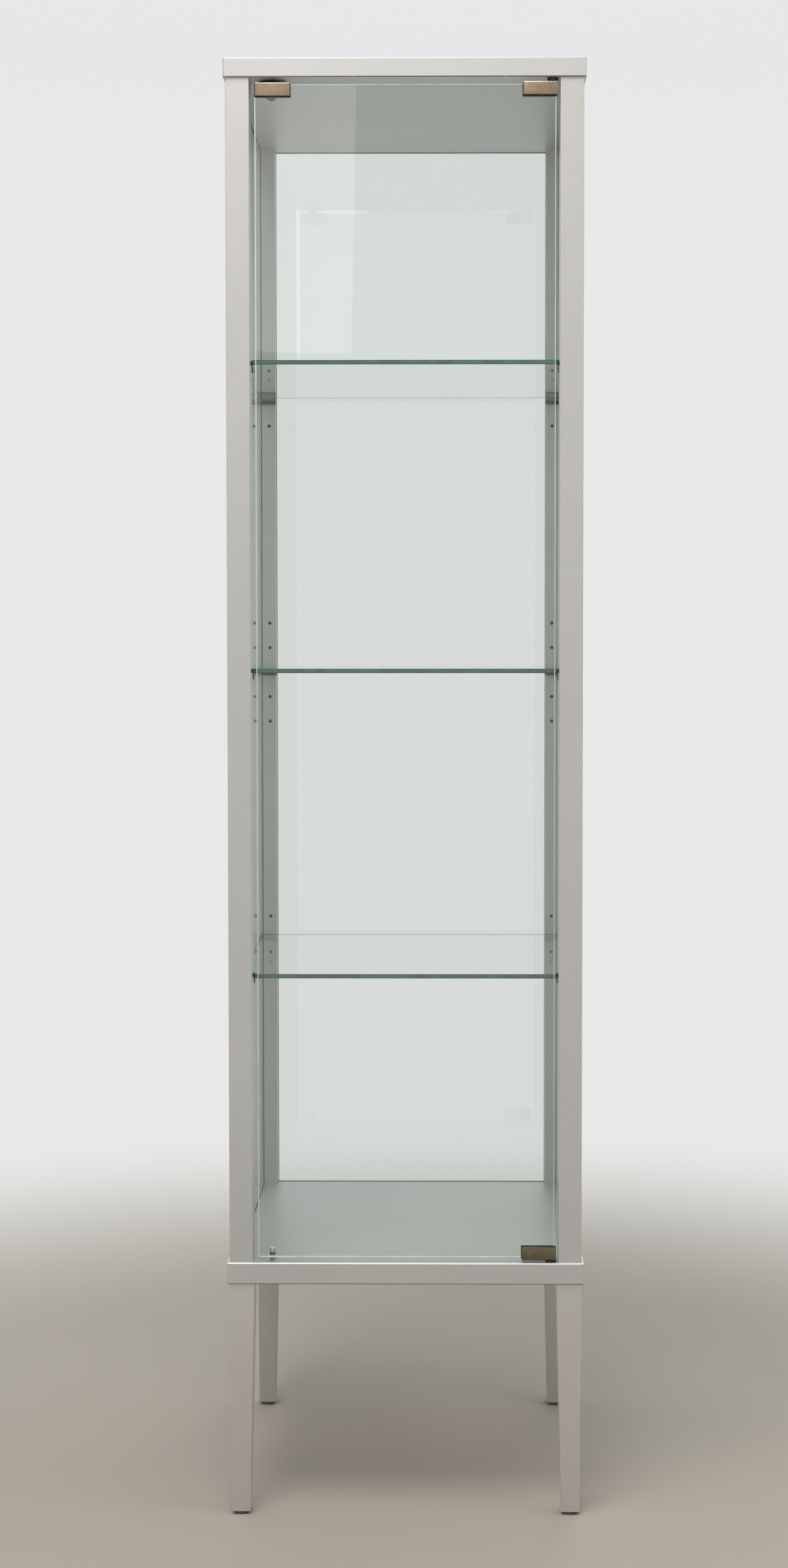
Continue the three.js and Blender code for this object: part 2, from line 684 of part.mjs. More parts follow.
function addLegs() {
  for (const [end, sy] of ENDS) {
    for (const [side, sx] of SIDES) {
      const top = [sx * legTopCentre(), sy * legTopCentre()];
      const foot = [sx * legBottomCentre(), sy * legBottomCentre()];
      addPart(`leg_${end}_${side}`, 'lacquer', leg(sx, sy), [...top, GLIDE.thickness + GLIDE.gap]);
      addPart(`leg_bolt_${end}_${side}`, 'steel', legBolt(), [...top, LEG_HEIGHT]);
      addPart(`glide_${end}_${side}`, 'blackPlastic', glide(), [...foot, 0]);
    }
  }
}

addCase();
addFixedGlass();
addShelves();
addDoor();
addCatch();
addStop();
addLegs();

export default showcase;
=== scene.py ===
"""Looks of the glass display showcase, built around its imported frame.

Metres, +Z up. The front of the case faces -Y, and left and right are as seen from the front.
"""

import math

import bmesh
import bpy
from mathutils import Matrix, Vector


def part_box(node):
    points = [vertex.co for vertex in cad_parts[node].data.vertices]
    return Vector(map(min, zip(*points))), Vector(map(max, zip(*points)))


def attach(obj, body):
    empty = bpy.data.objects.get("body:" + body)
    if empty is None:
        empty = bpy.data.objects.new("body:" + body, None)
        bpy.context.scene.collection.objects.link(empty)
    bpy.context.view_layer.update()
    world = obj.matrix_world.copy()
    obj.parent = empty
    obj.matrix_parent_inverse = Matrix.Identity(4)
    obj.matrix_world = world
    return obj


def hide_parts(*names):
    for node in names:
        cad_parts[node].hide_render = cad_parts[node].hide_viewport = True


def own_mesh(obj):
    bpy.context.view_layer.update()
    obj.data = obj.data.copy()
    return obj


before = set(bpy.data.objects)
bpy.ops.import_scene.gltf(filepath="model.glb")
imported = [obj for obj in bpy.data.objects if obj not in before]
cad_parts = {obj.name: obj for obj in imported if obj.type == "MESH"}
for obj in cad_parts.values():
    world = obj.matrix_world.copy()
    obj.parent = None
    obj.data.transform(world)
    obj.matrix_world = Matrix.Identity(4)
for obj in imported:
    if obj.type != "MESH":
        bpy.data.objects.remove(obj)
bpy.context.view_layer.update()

MM = 0.001
SIDES = ("left", "right")
ENDS = {"front": -1, "rear": 1}  # with the way it lies along Y
LEVELS = ("upper", "middle", "lower")

CAMERA = {  # in metres, degrees and, for the lens, millimetres
    "place": (0.0524, -2.8057, 1.0098),
    "yaw": -0.436,
    "pitch": -2.385,
    "roll": -0.014,
    "lens": 52.365,
    "shift": (-0.02524, -0.02924),
}

# ---------------------------------------------------------------- shader helpers


def material(name, values):
    """A material with one Principled shader, its plain values set on its own sockets."""
    made = bpy.data.materials.new(name)
    made.use_nodes = True
    shader = made.node_tree.nodes["Principled BSDF"]
    for socket, value in values.items():
        shader.inputs[socket].default_value = value
    return made, shader


def feed(mat, socket, value):
    """Gives a socket another node's output or a plain value."""
    if isinstance(value, bpy.types.NodeSocket):
        mat.node_tree.links.new(value, socket)
    else:
        socket.default_value = value


def add(mat, kind, inputs=None, **settings):
    """A new node, with its inputs fed and its settings made."""
    made = mat.node_tree.nodes.new("ShaderNode" + kind)
    for setting, value in settings.items():
        setattr(made, setting, value)
    for socket, value in (inputs or {}).items():
        feed(mat, made.inputs[socket], value)
    return made


def noise(mat, scale, detail, stretch=(1, 1, 1)):
    """Noise over the piece's own coordinates, scale cycles to the metre."""
    place = add(mat, "TexCoord").outputs["Object"]
    place = add(mat, "Mapping", {"Vector": place, "Scale": stretch}).outputs["Vector"]
    return add(mat, "TexNoise", {"Vector": place, "Scale": scale, "Detail": detail}).outputs["Fac"]


def spread(mat, value, low, high, to_low, to_high):
    """value from low..high to to_low..to_high, clamped."""
    inputs = {
        "Value": value,
        "From Min": low,
        "From Max": high,
        "To Min": to_low,
        "To Max": to_high,
    }
    return add(mat, "MapRange", inputs).outputs["Result"]


def contrast(mat, value, to_low=0, to_high=1):
    """Noise, most of which lies between 0.3 and 0.7, spread over a full range."""
    return spread(mat, value, 0.3, 0.7, to_low, to_high)


def maths(mat, operation, a, b):
    return add(mat, "Math", {0: a, 1: b}, operation=operation).outputs[0]


def mix_colour(mat, factor, a, b):
    """Colour a where factor is 0 and b where it is 1."""
    made = add(mat, "Mix", data_type="RGBA")
    sockets = {socket.identifier: socket for socket in (*made.inputs, *made.outputs)}
    feed(mat, sockets["Factor_Float"], factor)
    for name, colour in (("A_Color", a), ("B_Color", b)):
        feed(mat, sockets[name], (*colour, 1) if isinstance(colour, tuple) else colour)
    return sockets["Result_Color"]


def scaled(colour, factor):
    return tuple(value * factor for value in colour)


def bump(mat, shader, height, distance, strength):
    """Fine relief, as deep as distance where height goes from 0 to 1."""
    inputs = {"Height": height, "Distance": distance, "Strength": strength}
    feed(mat, shader.inputs["Normal"], add(mat, "Bump", inputs).outputs["Normal"])


def edge_mask(mat, radius):
    """1 on edges and corners of the piece, 0 on its flat faces."""
    rounded = add(mat, "Bevel", {"Radius": radius}, samples=4).outputs["Normal"]
    flat = add(mat, "NewGeometry").outputs["Normal"]
    inputs = {0: rounded, 1: flat}
    agree = add(mat, "VectorMath", inputs, operation="DOT_PRODUCT").outputs["Value"]
    return spread(mat, agree, 0.80, 0.985, 1, 0)


def facing_up(mat, start, end):
    """0 to 1 as the height of the surface's normal goes from start to end."""
    normal = add(mat, "NewGeometry").outputs["Normal"]
    height = add(mat, "SeparateXYZ", {"Vector": normal}).outputs["Z"]
    return spread(mat, height, start, end, 0, 1)


def arris_mask(mat, past_side, before_flat):
    """1 on slanted faces, between two ramps of the normal's height: from a side, and from flat."""
    return maths(mat, "MULTIPLY", facing_up(mat, *past_side), facing_up(mat, *before_flat))


def surface(mat, shader):
    feed(mat, mat.node_tree.nodes["Material Output"].inputs["Surface"], shader)


# ---------------------------------------------------------------- materials

# The first colour is painted shade on downward arrises, the second painted shade in holes.
UNDER_ARRIS_SHADE = (0.13, 0.125, 0.115)
HOLE_SHADE = (0.02, 0.02, 0.018)
BARE_CHIP = (0.86, 0.84, 0.80)
HOLE_REACH = 5 * MM  # the lacquer is darkened where it is shut in as closely as this
CHIP_REACH = 1.3 * MM  # how far a chip may go in from an edge
GLASS_IOR = 1.5
GLASS_DIMMING = 0.97  # light that a pane passes on, besides its tint


def silver_lacquer(name, tone, chipping, upper_arris_shading):
    """Silver metallic lacquer: fine flake, faint orange peel, chipped edges, a painted tone on upper
    arrises, painted shade on lower arrises and in holes.
    """
    mat, shader = material(name, {
        "Metallic": 0.62,
        "Coat Weight": 0.18,
        "Coat Roughness": 0.22,
    })
    dull, bright = scaled(tone, 0.92), scaled(tone, 1.08)
    flake = noise(mat, 1500, detail=1)
    cloud = spread(mat, noise(mat, 9, detail=3), 0.35, 0.65, 0, 0.35)
    colour = mix_colour(mat, cloud, mix_colour(mat, contrast(mat, flake), dull, bright), dull)
    # Upward arrises get a painted tone: a painted highlight on the base and legs, painted shade on the
    # case.
    upper = arris_mask(mat, (0.12, 0.34), (0.985, 0.93))
    colour = mix_colour(mat, maths(mat, "MULTIPLY", upper, 0.85), colour, upper_arris_shading)
    # Downward arrises get painted shade, a shadow line under each overhang.
    lower = arris_mask(mat, (-0.1, -0.4), (-0.985, -0.93))
    colour = mix_colour(mat, maths(mat, "MULTIPLY", lower, 0.85), colour, UNDER_ARRIS_SHADE)
    near = add(mat, "AmbientOcclusion", {"Distance": HOLE_REACH}, samples=6, only_local=True)
    colour = mix_colour(mat, spread(mat, near.outputs["AO"], 0.35, 0.6, 0, 1), HOLE_SHADE, colour)
    chance = spread(mat, noise(mat, 42, detail=4), 1 - chipping - 0.03, 1 - chipping, 0, 1)
    chips = maths(mat, "MULTIPLY", edge_mask(mat, CHIP_REACH), chance)
    feed(mat, shader.inputs["Base Color"], mix_colour(mat, chips, colour, BARE_CHIP))
    satin = contrast(mat, noise(mat, 300, detail=2), 0.40, 0.48)
    rough = maths(mat, "ADD", satin, maths(mat, "MULTIPLY", chips, 0.3))
    feed(mat, shader.inputs["Roughness"], rough)
    peel = maths(mat, "ADD", noise(mat, 420, detail=1), maths(mat, "MULTIPLY", flake, 0.35))
    bump(mat, shader, maths(mat, "SUBTRACT", peel, chips), 0.06 * MM, strength=0.5)
    return mat


def clear_glass(name, tint):
    """Float glass that lets lamps through: faintly green, faintly wavy, with a trace of smear."""
    mat, shader = material(name, {
        "Base Color": (*tint, 1),
        "Transmission Weight": 1,
        "IOR": GLASS_IOR,
    })
    smear = noise(mat, 14, detail=3, stretch=(1, 1, 0.4))
    feed(mat, shader.inputs["Roughness"], spread(mat, smear, 0.35, 0.75, 0.0, 0.035))
    bump(mat, shader, noise(mat, 5, detail=0), 0.15 * MM, strength=0.25)
    through = [value**3 * GLASS_DIMMING for value in tint]
    pane = add(mat, "BsdfTransparent", {"Color": (*through, 1)})
    path = add(mat, "LightPath")
    lit = maths(mat, "MAXIMUM", path.outputs["Is Shadow Ray"], path.outputs["Is Diffuse Ray"])
    both = add(mat, "MixShader", {0: lit, 1: shader.outputs[0], 2: pane.outputs[0]})
    surface(mat, both.outputs[0])
    return mat


def glass_edge(name, dark, light, roughness):
    """The edge of a pane: green where it shows the whole depth of the glass behind it, pale on the door
    as a painted highlight.
    """
    mat, shader = material(name, {"IOR": GLASS_IOR, "Coat Weight": 0.6, "Coat Roughness": 0.08})
    depth = spread(mat, noise(mat, 60, detail=3, stretch=(1, 1, 0.2)), 0.35, 0.65, 0, 1)
    feed(mat, shader.inputs["Base Color"], mix_colour(mat, depth, dark, light))
    ground = noise(mat, 900, detail=1)
    feed(mat, shader.inputs["Roughness"], contrast(mat, ground, roughness, roughness + 0.12))
    bump(mat, shader, ground, 0.02 * MM, strength=0.4)
    return mat


def plated_metal(name, colour, upward_shading, roughness, grain, downward_shade=0.0):
    """Plated metal with a fine drawn grain, a painted tone on faces turned up and painted shade on faces
    turned down.
    """
    mat, shader = material(name, {"Anisotropic": 0.25})
    lines = noise(mat, 1600, detail=2, stretch=grain)
    cloud = noise(mat, 160, detail=3)
    toned = mix_colour(mat, contrast(mat, cloud), scaled(colour, 0.80), colour)
    # Painted shade where the surface faces down.
    below = maths(mat, "MULTIPLY", facing_up(mat, -0.25, -0.6), downward_shade)
    toned = mix_colour(mat, below, toned, scaled(colour, 0.22))
    # Upward faces get a painted tone in patches: a highlight on most plates, shade on the shaded bronze.
    patches = spread(mat, cloud, 0.3, 0.6, 0.75, 1)
    above = maths(mat, "MULTIPLY", facing_up(mat, 0.25, 0.6), patches)
    feed(mat, shader.inputs["Base Color"], mix_colour(mat, above, toned, upward_shading))
    feed(mat, shader.inputs["Metallic"], spread(mat, above, 0, 1, 1, 0.35))
    rough = spread(mat, lines, 0.25, 0.75, roughness - 0.07, roughness + 0.09)
    feed(mat, shader.inputs["Roughness"], rough)
    bump(mat, shader, lines, 0.012 * MM, strength=0.5)
    return mat


def moulded(name, colour, pale, roughness, grain, depth):
    """Moulded plastic or rubber: a fine leather-like texture, dusty in patches."""
    mat, shader = material(name, {"IOR": 1.48})
    texture = noise(mat, grain, detail=2)
    dust = spread(mat, noise(mat, 120, detail=4), 0.5, 0.75, 0, 0.7)
    feed(mat, shader.inputs["Base Color"], mix_colour(mat, dust, colour, pale))
    rough = contrast(mat, texture, roughness - 0.08, roughness + 0.08)
    feed(mat, shader.inputs["Roughness"], rough)
    bump(mat, shader, texture, depth, strength=0.6)
    return mat


def soft_vinyl(name, dark, light):
    """Clear soft vinyl, slightly cloudy."""
    mat, shader = material(name, {"IOR": 1.52, "Transmission Weight": 0.35})
    cloud = noise(mat, 220, detail=3)
    feed(mat, shader.inputs["Base Color"], mix_colour(mat, contrast(mat, cloud), dark, light))
    feed(mat, shader.inputs["Roughness"], contrast(mat, cloud, 0.28, 0.45))
    bump(mat, shader, noise(mat, 900, detail=1), 0.02 * MM, strength=0.4)
    return mat


# Which way the grain of a plated metal runs: the noise is drawn out along an axis with a small number.
GRAIN_X, GRAIN_Y, GRAIN_Z = (0.05, 1, 1), (1, 0.1, 1), (1, 1, 0.2)
GRAIN_CAST = (0.3, 1, 1)  # hardly drawn

# Each lacquer's last colour is painted on its upward arrises: shade on the case, a highlight on the base
# and legs.
LACQUER = silver_lacquer(
    "silver_lacquer_case", (0.505, 0.484, 0.458), chipping=0.30, upper_arris_shading=(0.24, 0.232, 0.22)
)
LACQUER_EDGE_HIGHLIT = silver_lacquer(
    "silver_lacquer_base", (0.53, 0.492, 0.472), chipping=0.30, upper_arris_shading=(0.97, 0.955, 0.93)
)
LACQUER_WORN_LIT = silver_lacquer(
    "silver_lacquer_legs", (0.58, 0.54, 0.51), chipping=0.42, upper_arris_shading=(0.70, 0.68, 0.65)
)
PANE_TINT = (0.918, 0.94, 0.928)
CASE_GLASS = clear_glass("case_float_glass", PANE_TINT)
DOOR_GLASS = clear_glass("door_float_glass", PANE_TINT)
SHELF_GLASS = clear_glass("shelf_float_glass", (0.90, 0.945, 0.925))
SHELF_EDGE = glass_edge(
    "shelf_polished_edge", (0.012, 0.095, 0.055), (0.03, 0.17, 0.105), roughness=0.12
)
SHELF_ARRIS = glass_edge(
    "shelf_ground_arris", (0.002, 0.02, 0.012), (0.006, 0.04, 0.026), roughness=0.25
)
# The door's edge and arris are painted pale: a painted highlight along its edges.
DOOR_EDGE_HIGHLIT = glass_edge(
    "door_polished_edge", (0.34, 0.42, 0.38), (0.46, 0.54, 0.50), roughness=0.12
)
DOOR_ARRIS_HIGHLIT = glass_edge(
    "door_ground_arris", (0.62, 0.69, 0.66), (0.78, 0.83, 0.80), roughness=0.35
)
# In each plate, the colour for upward faces is painted light (painted shade on the shaded bronze), and
# the amount for downward faces is painted shade.
BRONZE = plated_metal(
    "satin_bronze_plate", (0.33, 0.248, 0.172), upward_shading=(0.95, 0.86, 0.72),
    roughness=0.34, grain=GRAIN_X, downward_shade=0.9,
)
# The lower clamp's bronze, a darker copy of the upper's: painted shade.
BRONZE_SHADED = plated_metal(
    "bronze_plate_painted_shade", (0.19, 0.155, 0.10), upward_shading=(0.06, 0.055, 0.04),
    roughness=0.38, grain=GRAIN_X, downward_shade=0.9,
)
SUPPORT = plated_metal(
    "dark_bronze_plate", (0.175, 0.165, 0.115), upward_shading=(0.24, 0.23, 0.17),
    roughness=0.38, grain=GRAIN_CAST, downward_shade=0.4,
)
SLEEVE = plated_metal(
    "brushed_bronze_sleeve", (0.46, 0.38, 0.30), upward_shading=(0.55, 0.48, 0.40),
    roughness=0.42, grain=GRAIN_Y,
)
STEEL = plated_metal(
    "bright_zinc_plate", (0.60, 0.59, 0.57), upward_shading=(0.85, 0.85, 0.84),
    roughness=0.24, grain=GRAIN_Z,
)
BLACK = moulded(
    "black_catch_plastic", (0.008, 0.008, 0.008), pale=(0.035, 0.033, 0.03),
    roughness=0.45, grain=1400, depth=0.02 * MM,
)
FOOT = moulded(
    "dark_nylon", (0.075, 0.07, 0.062), pale=(0.20, 0.185, 0.16),
    roughness=0.5, grain=900, depth=0.03 * MM,
)
RUBBER = moulded(
    "matt_rubber", (0.022, 0.021, 0.018), pale=(0.08, 0.075, 0.065),
    roughness=0.8, grain=700, depth=0.04 * MM,
)
SEALANT = moulded(
    "dark_sealant", (0.055, 0.065, 0.06), pale=(0.13, 0.14, 0.13),
    roughness=0.55, grain=500, depth=0.03 * MM,
)
SEALANT_PALE = moulded(
    "grey_sealant", (0.42, 0.43, 0.42), pale=(0.52, 0.53, 0.52),
    roughness=0.55, grain=500, depth=0.03 * MM,
)
VINYL = soft_vinyl("clear_vinyl_pad", (0.52, 0.54, 0.50), (0.70, 0.71, 0.67))

# ---------------------------------------------------------------- mesh helpers


def mesh_of(name, bm):
    """A mesh from a solid, which is used up, with its faces turned outwards."""
    mesh = bpy.data.meshes.new(name)
    bmesh.ops.recalc_face_normals(bm, faces=bm.faces)
    bm.to_mesh(mesh)
    bm.free()
    return mesh


def solid_of(mesh):
    bm = bmesh.new()
    bm.from_mesh(mesh)
    return bm


def show(name, data):
    """A new object in the scene."""
    made = bpy.data.objects.new(name, data)
    bpy.context.scene.collection.objects.link(made)
    return made


def piece(name, shape, body, materials, replaces=(), crease=40):
    """A finished piece of the object, from a solid or a mesh, smooth up to crease degrees."""
    mesh = mesh_of(name, shape) if isinstance(shape, bmesh.types.BMesh) else shape
    mesh.shade_smooth()
    mesh.set_sharp_from_angle(angle=math.radians(crease))
    if not mesh.materials:
        for mat in materials:
            mesh.materials.append(mat)
    made = show(name, mesh)
    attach(made, body)
    if replaces:
        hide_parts(*replaces)
    return made


def join_loops(bm, lower, upper, index=0):
    """Faces between two closed loops, either of which may be a single point on the axis."""
    count = max(len(lower), len(upper))
    for i in range(count):
        j = (i + 1) % count
        corners = [loop[k % len(loop)] for loop, k in ((lower, i), (lower, j), (upper, j), (upper, i))]
        face = bm.faces.new(tuple(dict.fromkeys(corners)))
        face.material_index = index


def outline(corners, radius, inset, steps=5):
    """Points of an outline with square corners, given anticlockwise, moved in and rounded."""
    points = []
    for i, corner in enumerate(corners):
        here = Vector(corner)
        before = (here - Vector(corners[i - 1])).normalized()
        after = (Vector(corners[(i + 1) % len(corners)]) - here).normalized()
        inward = Vector((-before.y, before.x)), Vector((-after.y, after.x))
        convex = 1 if before.cross(after) > 0 else -1
        round_by = radius - convex * inset
        centre = here + (inset + convex * round_by) * (inward[0] + inward[1])
        start = -convex * inward[0]
        for step in range(steps + 1):
            turn = convex * math.pi / 2 * step / steps
            points.append(centre + round_by * (Matrix.Rotation(turn, 2) @ start))
    return points


def slab(corners, low, high, radius, arris):
    """A flat pane between two heights: clear faces, an edge band, and an arris on each side of it."""
    face, edge, bevel = 0, 1, 2  # material indices
    bm = bmesh.new()
    loops = [
        [bm.verts.new((p.x, p.y, z)) for p in outline(corners, radius, inset)]
        for inset, z in ((arris, low), (0, low + arris), (0, high - arris), (arris, high))
    ]
    for loop in (loops[0], loops[-1]):
        bm.faces.new(loop).material_index = face
    for lower, upper, index in zip(loops, loops[1:], (bevel, edge, bevel)):
        join_loops(bm, lower, upper, index)
    return bm


def rectangle(low_u, low_v, high_u, high_v):
    return [(low_u, low_v), (high_u, low_v), (high_u, high_v), (low_u, high_v)]


# Columns say where the first, second and third axis of a flat outline go.
FACING_Y = Matrix(((1, 0, 0, 0), (0, 0, 1, 0), (0, 1, 0, 0), (0, 0, 0, 1)))
FACING_X = Matrix(((0, 0, 1, 0), (1, 0, 0, 0), (0, 1, 0, 0), (0, 0, 0, 1)))
Z_TO_Y = Matrix.Rotation(-math.pi / 2, 4, "X")


def moved(bm, matrix):
    bm.transform(matrix)
    return bm


def shifted(bm, x, y, z):
    return moved(bm, Matrix.Translation((x, y, z)))


def along_y(bm):
    """Turns a solid that runs along +Z so that it runs along +Y."""
    return moved(bm, Z_TO_Y)


def soften(profile, ease, steps=3):
    """The open line of points with its inner corners rounded by about ease."""
    most = 0.45  # of a stretch is used up by the rounding at either end
    points = [Vector(p) for p in profile]
    softened = [points[0]]
    for before, here, after in zip(points, points[1:], points[2:]):
        back, ahead = before - here, after - here
        start = here + back.normalized() * min(ease, back.length * most)
        end = here + ahead.normalized() * min(ease, ahead.length * most)
        for step in range(steps + 1):
            t = step / steps
            softened.append((1 - t) ** 2 * start + 2 * t * (1 - t) * here + t**2 * end)
    return softened + [points[-1]]


def lathe(profile, segments=40, closed=False):
    """A solid turned about Z from (radius, height) points."""
    bm = bmesh.new()
    rings = []
    for radius, height in profile:
        count = segments if radius > 1e-9 else 1
        turns = [2 * math.pi * i / segments for i in range(count)]
        rings.append([bm.verts.new((radius * math.cos(t), radius * math.sin(t), height)) for t in turns])
    for lower, upper in zip(rings, rings[1:] + (rings[:1] if closed else [])):
        join_loops(bm, lower, upper)
    return bm


def rod(radius, length, segments=32):
    """A plain cylinder from the origin along Z."""
    return lathe([(0, 0), (radius, 0), (radius, length), (0, length)], segments)


def block(low, high):
    bm = bmesh.new()
    low, high = Vector(low), Vector(high)
    bmesh.ops.create_cube(bm, size=1)
    return moved(bm, Matrix.Translation((low + high) / 2) @ Matrix.Diagonal((*(high - low), 1)))


def carved(name, base, join=(), cut=(), ease=0.0, steps=3):
    """A mesh from base with solids joined to it, others cut from it, and its edges rounded."""
    host = show("host", mesh_of("host", base))
    tools = [(bm, "UNION") for bm in join] + [(bm, "DIFFERENCE") for bm in cut]
    tools = [(show("tool", mesh_of("tool", bm)), operation) for bm, operation in tools]
    for tool, operation in tools:
        modifier = host.modifiers.new("carve", "BOOLEAN")
        modifier.operation, modifier.object, modifier.solver = operation, tool, "EXACT"
    if ease:
        rounding = host.modifiers.new("ease", "BEVEL")
        rounding.width, rounding.segments = ease, steps
        rounding.limit_method, rounding.angle_limit = "ANGLE", math.radians(50)
    graph = bpy.context.evaluated_depsgraph_get()
    mesh = bpy.data.meshes.new_from_object(host.evaluated_get(graph))
    mesh.name = name
    for made in [host] + [tool for tool, _ in tools]:
        bpy.data.objects.remove(made)
    return mesh


def centre_of(node):
    low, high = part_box(node)
    return (low + high) / 2


# ---------------------------------------------------------------- carried-over CAD nodes


def finish_nodes():
    """The CAD nodes whose shape is right keep it and get their materials."""
    finishes = {  # by how a name starts, so leg_rear has to come before leg
        "top_panel": LACQUER,
        "base_panel": LACQUER_EDGE_HIGHLIT,
        "post": LACQUER,
        "leg_bolt": STEEL,
        # The rear legs take the darker case lacquer and the front legs a lighter copy: painted shade and
        # painted light.
        "leg_rear": LACQUER,
        "leg": LACQUER_WORN_LIT,
    }
    for name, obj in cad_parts.items():
        start = next((key for key in finishes if name.startswith(key)), None)
        if start:
            obj.material_slots[0].material = finishes[start]


# ---------------------------------------------------------------- glass

DOOR_RADIUS, SHELF_RADIUS, FIXED_RADIUS = 1.5 * MM, 1.6 * MM, 0.8 * MM  # of a pane's corners
FREE_ARRIS, HELD_ARRIS = 0.9 * MM, 0.4 * MM
PANE_CREASE = 30
TONGUE_GAP = 0.5 * MM  # between a front post and the part of a shelf that comes forwards
BEAD = 0.5 * MM
FIXED_PANES = {
    "left": ("side_glass_left", "side_pane_left", FACING_X, SEALANT),
    "right": ("side_glass_right", "side_pane_right", FACING_X, SEALANT),
    "back": ("back_glass", "back_pane", FACING_Y, SEALANT_PALE),
}


def upright_slab(node, facing, radius, arris):
    """The slab for a pane that stands across X or across Y."""
    low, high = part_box(node)
    across, along = (0, 1) if facing is FACING_X else (1, 0)
    corners = rectangle(low[along], low.z, high[along], high.z)
    return moved(slab(corners, low[across], high[across], radius, arris), facing)


def add_door_pane():
    glass = [DOOR_GLASS, DOOR_EDGE_HIGHLIT, DOOR_ARRIS_HIGHLIT]
    pane = upright_slab("glass_door", FACING_Y, DOOR_RADIUS, FREE_ARRIS)
    piece("door_pane", pane, "door", glass, ["glass_door"], PANE_CREASE)


def add_fixed_panes():
    glass = [CASE_GLASS, SHELF_EDGE, SHELF_ARRIS]
    for node, name, facing, _ in FIXED_PANES.values():
        pane = upright_slab(node, facing, FIXED_RADIUS, HELD_ARRIS)
        piece(name, pane, "cabinet", glass, [node], PANE_CREASE)


def add_shelf_panes():
    """Each shelf reaches sideways behind the front posts and forwards between them."""
    glass = [SHELF_GLASS, SHELF_EDGE, SHELF_ARRIS]
    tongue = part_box("post_front_right")[0].x - TONGUE_GAP
    for level in LEVELS:
        node = f"shelf_{level}"
        low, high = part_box(node)
        notch = -high.y  # the wide part goes as far forwards as it goes back
        corners = [
            (-tongue, low.y),
            (tongue, low.y),
            (tongue, notch),
            (high.x, notch),
            (high.x, high.y),
            (low.x, high.y),
            (low.x, notch),
            (-tongue, notch),
        ]
        pane = slab(corners, low.z, high.z, SHELF_RADIUS, FREE_ARRIS)
        piece(f"shelf_pane_{level}", pane, f"{level}_shelf", glass, [node], PANE_CREASE)


def add_glazing_beads():
    """A thin hollow fillet of sealant round each face of each fixed pane, where it enters its frame."""
    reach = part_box("post_rear_right")[0].x
    floor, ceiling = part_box("base_panel")[1].z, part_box("top_panel")[0].z
    hollow = [(0, 0), (1, 0), (0.45, 0.16), (0.16, 0.45), (0, 1)]  # in bead widths
    for name, (node, _, facing, sealant) in FIXED_PANES.items():
        low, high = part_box(node)
        across = 0 if facing is FACING_X else 1
        for face, at, out in (("low", low[across], -1), ("high", high[across], 1)):
            bm = bmesh.new()
            loops = []
            for inset, lift in hollow:
                inset, lift = inset * BEAD, lift * BEAD
                corners = rectangle(-reach + inset, floor + inset, reach - inset, ceiling - inset)
                loops.append([bm.verts.new((u, v, at + out * lift)) for u, v in corners])
            for lower, upper in zip(loops, loops[1:] + loops[:1]):
                join_loops(bm, lower, upper)
            bead = moved(bm, facing)
            piece(f"glazing_bead_{name}_{face}", bead, "cabinet", [sealant], crease=60)


# ---------------------------------------------------------------- shelf supports

PIN = {"radius": 2 * MM, "above": 2.9 * MM, "below": 4.2 * MM}  # saddle's top and belly about its pin
SADDLE = {"gap": 0.1 * MM, "lip": 1.6 * MM, "straight": 0.35, "steps": 10, "ease": 0.55 * MM}
PAD = {
    "radius": 4.6 * MM,
    "height": 0.55 * MM,
    "ease": 0.25 * MM,
    "from_mouth": 6.5 * MM,  # of the hole in the post to the pad's middle
    "lift": 0.02 * MM,
}


def support_mesh():
    """Cast saddle with a flat top and a round belly, its pin pointing along -Y from the origin."""
    low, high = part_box("support_upper_front_left")
    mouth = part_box("post_front_left")[1].y  # where the pin enters the post
    width, depth = high.x - low.x, high.y - mouth
    top, bottom = PIN["above"], -PIN["below"]
    straight = SADDLE["straight"] * depth
    belly = [(SADDLE["gap"], top), (SADDLE["gap"], bottom), (straight, bottom)]
    for step in range(1, SADDLE["steps"] + 1):
        turn = math.pi / 2 * step / SADDLE["steps"]
        belly.append((
            straight + (depth - straight) * math.sin(turn),
            bottom + (top - SADDLE["lip"] - bottom) * (1 - math.cos(turn)),
        ))
    belly.append((depth, top))
    bm = bmesh.new()
    ends = [[bm.verts.new((x, y, z)) for y, z in belly] for x in (-width / 2, width / 2)]
    bm.faces.new(ends[0])
    bm.faces.new(ends[1])
    join_loops(bm, ends[0], ends[1])
    pin = shifted(along_y(rod(PIN["radius"], mouth - low.y + MM)), 0, low.y - mouth, 0)
    return carved("support_casting", bm, join=[pin], ease=SADDLE["ease"])


def pad_mesh():
    radius, height = PAD["radius"], PAD["height"]
    profile = soften([(0, 0), (radius, 0), (radius, height), (0, height)], PAD["ease"])
    return mesh_of("support_pad", lathe(profile, segments=28))


def add_supports():
    """Twelve cast supports, each with a soft pad between its flat top and the shelf."""
    casting, pad = support_mesh(), pad_mesh()
    for level in LEVELS:
        for end, sy in ENDS.items():
            for side in SIDES:
                name = f"{level}_{end}_{side}"
                node = f"support_{name}"
                low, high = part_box(node)
                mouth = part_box(f"post_{end}_{side}")[1 if sy < 0 else 0].y
                pin = Vector(((low.x + high.x) / 2, mouth, high.z - PIN["above"]))
                cast = piece(
                    f"support_casting_{name}", casting, "cabinet", [SUPPORT], [node]
                )
                turn = Matrix.Rotation(0 if sy < 0 else math.pi, 4, "Z")
                cast.matrix_world = Matrix.Translation(pin) @ turn
                soft = piece(f"support_pad_{name}", pad, "cabinet", [VINYL])
                top = Vector((0, -sy * PAD["from_mouth"], PIN["above"] + PAD["lift"]))
                soft.matrix_world = Matrix.Translation(pin + top)


# ---------------------------------------------------------------- door fittings

